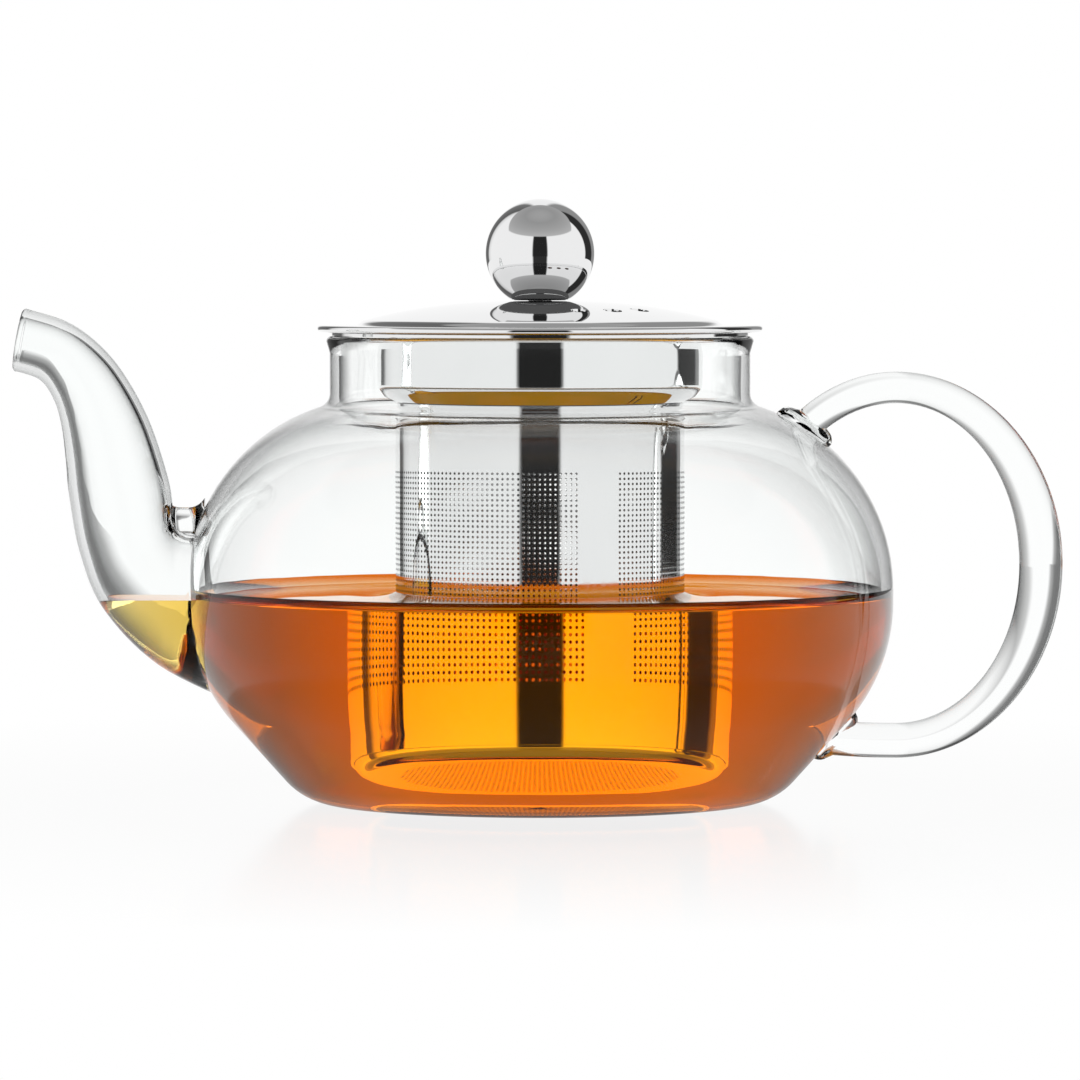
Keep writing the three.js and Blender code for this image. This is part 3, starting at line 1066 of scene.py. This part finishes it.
def bearing_of(tree, x, y):
    """The bearing of (x, y) in radians, and its place on a ramp."""
    bearing = math_node(tree, "ARCTAN2", x, math_node(tree, "MULTIPLY", y, -1))
    turns = math_node(tree, "DIVIDE", bearing, 2 * math.pi)
    return bearing, math_node(tree, "ADD", turns, 0.5)


def ray_kind(tree):
    """Light Path, with 1 where steel or glass mirrored the ray, and 1 where it met tea."""
    path = tree.nodes.new("ShaderNodeLightPath").outputs
    mirrored = math_node(tree, "MINIMUM", path["Glossy Depth"], 1)
    return path, mirrored, math_node(tree, "GREATER_THAN", path["Transmission Depth"], pot_surfaces)


def glass_backdrop(tree, share, in_tea):
    """What glass shows by bearing: the white backdrop behind, and darkness to its sides."""
    through_air = ramp(tree, share, [
        (turn_share(-180), 1.0), (turn_share(-170), 1.0), (turn_share(-165), 0.45),
        (turn_share(-156), 0.2), (turn_share(-104), 0.06), (turn_share(-98), 0.7),
        (turn_share(-75), 1.0), (turn_share(75), 1.0), (turn_share(98), 0.7),
        (turn_share(104), 0.06), (turn_share(132), 0.4), (turn_share(148), 0.6),
        (turn_share(158), 1.0), (turn_share(180), 1.0),
    ])
    through_tea = ramp(tree, share, [
        (turn_share(-180), 1.0), (turn_share(-166), 1.0), (turn_share(-152), 0.65),
        (turn_share(-130), 0.4), (turn_share(-104), 0.06), (turn_share(-75), 0.8),
        (turn_share(75), 0.8), (turn_share(104), 0.05), (turn_share(134), 0.25),
        (turn_share(152), 0.5), (turn_share(166), 1.0), (turn_share(180), 1.0),
    ])
    return mixed(tree, in_tea, through_air, through_tea)


def studio():
    world = bpy.data.worlds.new("studio")
    world.use_nodes = True
    scene.world = world
    tree = world.node_tree
    back = tree.nodes["Background"]
    split = tree.nodes.new("ShaderNodeSeparateXYZ")
    tree.links.new(tree.nodes.new("ShaderNodeTexCoord").outputs["Generated"], split.inputs[0])
    x, y, z = split.outputs
    bearing, share = bearing_of(tree, x, y)
    path, mirrored, in_tea = ray_kind(tree)
    round_steel = ramp(tree, share, [
        (turn_share(-180), 1.0), (turn_share(-171), 1.0), (turn_share(-165), 0.2),
        (turn_share(-143), 0.12), (turn_share(-137), 0.8), (turn_share(-126), 1.0),
        (turn_share(-17), 1.0), (turn_share(-15), 0.02), (turn_share(15), 0.02),
        (turn_share(17), 1.0), (turn_share(111), 1.0), (turn_share(113), 0.03),
        (turn_share(139), 0.03), (turn_share(144), 0.3), (turn_share(165), 0.3),
        (turn_share(171), 1.0), (turn_share(180), 1.0),
    ])
    overhead = ramp(tree, z, [(0.55, 0.55), (0.75, 0.42), (0.93, 0.34), (1.0, 0.4)])
    behind = math_node(tree, "MULTIPLY", math_node(tree, "MAXIMUM", y, 0), 0.4)
    up = ramp(tree, math_node(tree, "SUBTRACT", z, behind), [(0.575, 0.0), (0.605, 1.0)])
    behind_glass = math_node(tree, "GREATER_THAN", path["Transmission Depth"], 1.5)
    turned = math_node(tree, "ABSOLUTE", bearing)
    at_back = math_node(tree, "GREATER_THAN", turned, math.radians(150))
    white_back = math_node(tree, "MULTIPLY", behind_glass, at_back)
    steel_light = mixed(tree, up, mixed(tree, white_back, round_steel, 1.0), overhead)
    lift = tree.nodes.new("ShaderNodeMix")
    lift.data_type, lift.blend_type = "RGBA", "MULTIPLY"
    lift.inputs["Factor"].default_value = 1
    tree.links.new(steel_light, lift.inputs["A"])
    tree.links.new(mixed(tree, in_tea, 1.0, steel_in_tea), lift.inputs["B"])
    deep = math_node(tree, "GREATER_THAN", path["Glossy Depth"], 2.5)
    steel_light = mixed(tree, deep, lift.outputs["Result"], deep_light)
    sky = ramp(tree, z, [(0.0, 1.0), (0.6, 1.0), (0.66, 0.3), (0.85, 0.3), (0.93, 0.9)])
    in_air = math_node(tree, "MULTIPLY", glass_backdrop(tree, share, in_tea), sky)
    through_tea = math_node(tree, "MULTIPLY", in_air, tea_dimming)
    seen = mixed(tree, mirrored, mixed(tree, in_tea, in_air, through_tea), steel_light)
    tree.links.new(mixed(tree, path["Is Camera Ray"], seen, 1.0), back.inputs["Color"])
    return world


studio()
print("studio light set")

# %% [markdown]
# The floor is a sheet of glossy white acrylic. Close to the pot it gives a faint, soft
# mirror image, and further out it runs into the white background with no line. Further out it
# shows glass and steel what the environment shows them at the same bearing, so the dark gap and
# the cards go on below the horizon. Close round the pot it glows grey for steel: painted shade,
# for the floor in the pot's shade. Its light is its own, so it takes no shadow.


# %% The floor
def white_floor():
    mat = bpy.data.materials.new("white_floor")
    mat.use_nodes = True
    tree = mat.node_tree
    tree.nodes.clear()
    out = tree.nodes.new("ShaderNodeOutputMaterial")
    place = tree.nodes.new("ShaderNodeTexCoord").outputs["Object"]
    length = tree.nodes.new("ShaderNodeVectorMath")
    length.operation = "LENGTH"
    tree.links.new(place, length.inputs[0])
    radius = length.outputs["Value"]
    split = tree.nodes.new("ShaderNodeSeparateXYZ")
    tree.links.new(place, split.inputs[0])
    x, y, _ = split.outputs
    _, share = bearing_of(tree, x, y)
    path, mirrored, in_tea = ray_kind(tree)
    forward = math_node(tree, "MAXIMUM", math_node(tree, "MULTIPLY", y, -1), 0.01)
    slope = math_node(tree, "DIVIDE", math_node(tree, "ABSOLUTE", x), forward)
    narrow = ramp(tree, slope, [(0.24, 1.0), (0.3, 0.0)])
    away = ramp(tree, radius, [(0.16, 0.0), (0.26, 1.0)])
    # Painted shade: for rays that steel mirrors, the floor glows grey close round the pot
    floor_for_steel_with_painted_shade = ramp(tree, radius, [(0.05, 0.4), (0.085, 0.45), (0.09, 0.9), (0.3, 1.0)])
    floor_for_steel_with_painted_shade = mixed(tree, math_node(tree, "MULTIPLY", narrow, away), floor_for_steel_with_painted_shade, 0.03)
    far = ramp(tree, radius, [(0.12, 0.0), (0.22, 1.0)])
    in_glass = mixed(tree, far, 1.0, glass_backdrop(tree, share, in_tea))
    in_glass = mixed(tree, path["Is Camera Ray"], in_glass, 1.0)
    glow = tree.nodes.new("ShaderNodeEmission")
    tree.links.new(mixed(tree, mirrored, in_glass, floor_for_steel_with_painted_shade), glow.inputs["Color"])
    gloss = tree.nodes.new("ShaderNodeBsdfAnisotropic")
    gloss.inputs["Roughness"].default_value = 0.12
    near = ramp(tree, radius, [(0.08, 0.16), (0.25, 0.0)])
    mix = tree.nodes.new("ShaderNodeMixShader")
    tree.links.new(near, mix.inputs["Fac"])
    tree.links.new(glow.outputs["Emission"], mix.inputs[1])
    tree.links.new(gloss.outputs["BSDF"], mix.inputs[2])
    tree.links.new(mix.outputs["Shader"], out.inputs["Surface"])
    return mat


floor_bm = bmesh.new()
bmesh.ops.create_circle(floor_bm, segments=96, radius=0.9, cap_ends=True)
bmesh.ops.translate(floor_bm, verts=floor_bm.verts, vec=(0, 0, -0.00005))
floor = as_object("floor", floor_bm)
floor.data.materials.append(white_floor())

# %% [markdown]
# The camera stands far back with a long lens, a little above the tea, and looks square on to
# the pot, spout to the left and handle to the right.

# %% The camera
camera_data = bpy.data.cameras.new("camera")
camera_data.lens = 261.7
camera_data.sensor_width = 36
camera = bpy.data.objects.new("camera", camera_data)
scene.collection.objects.link(camera)
camera.location = (0, -1.37, 0.103)
aim = Vector((0, 0, 0.0459)) - camera.location
camera.rotation_euler = aim.to_track_quat("-Z", "Y").to_euler()
scene.camera = camera
scene.view_settings.view_transform = "Standard"
scene.cycles.max_bounces = 24
scene.cycles.transmission_bounces = 24
scene.cycles.glossy_bounces = 8
scene.cycles.transparent_max_bounces = 24
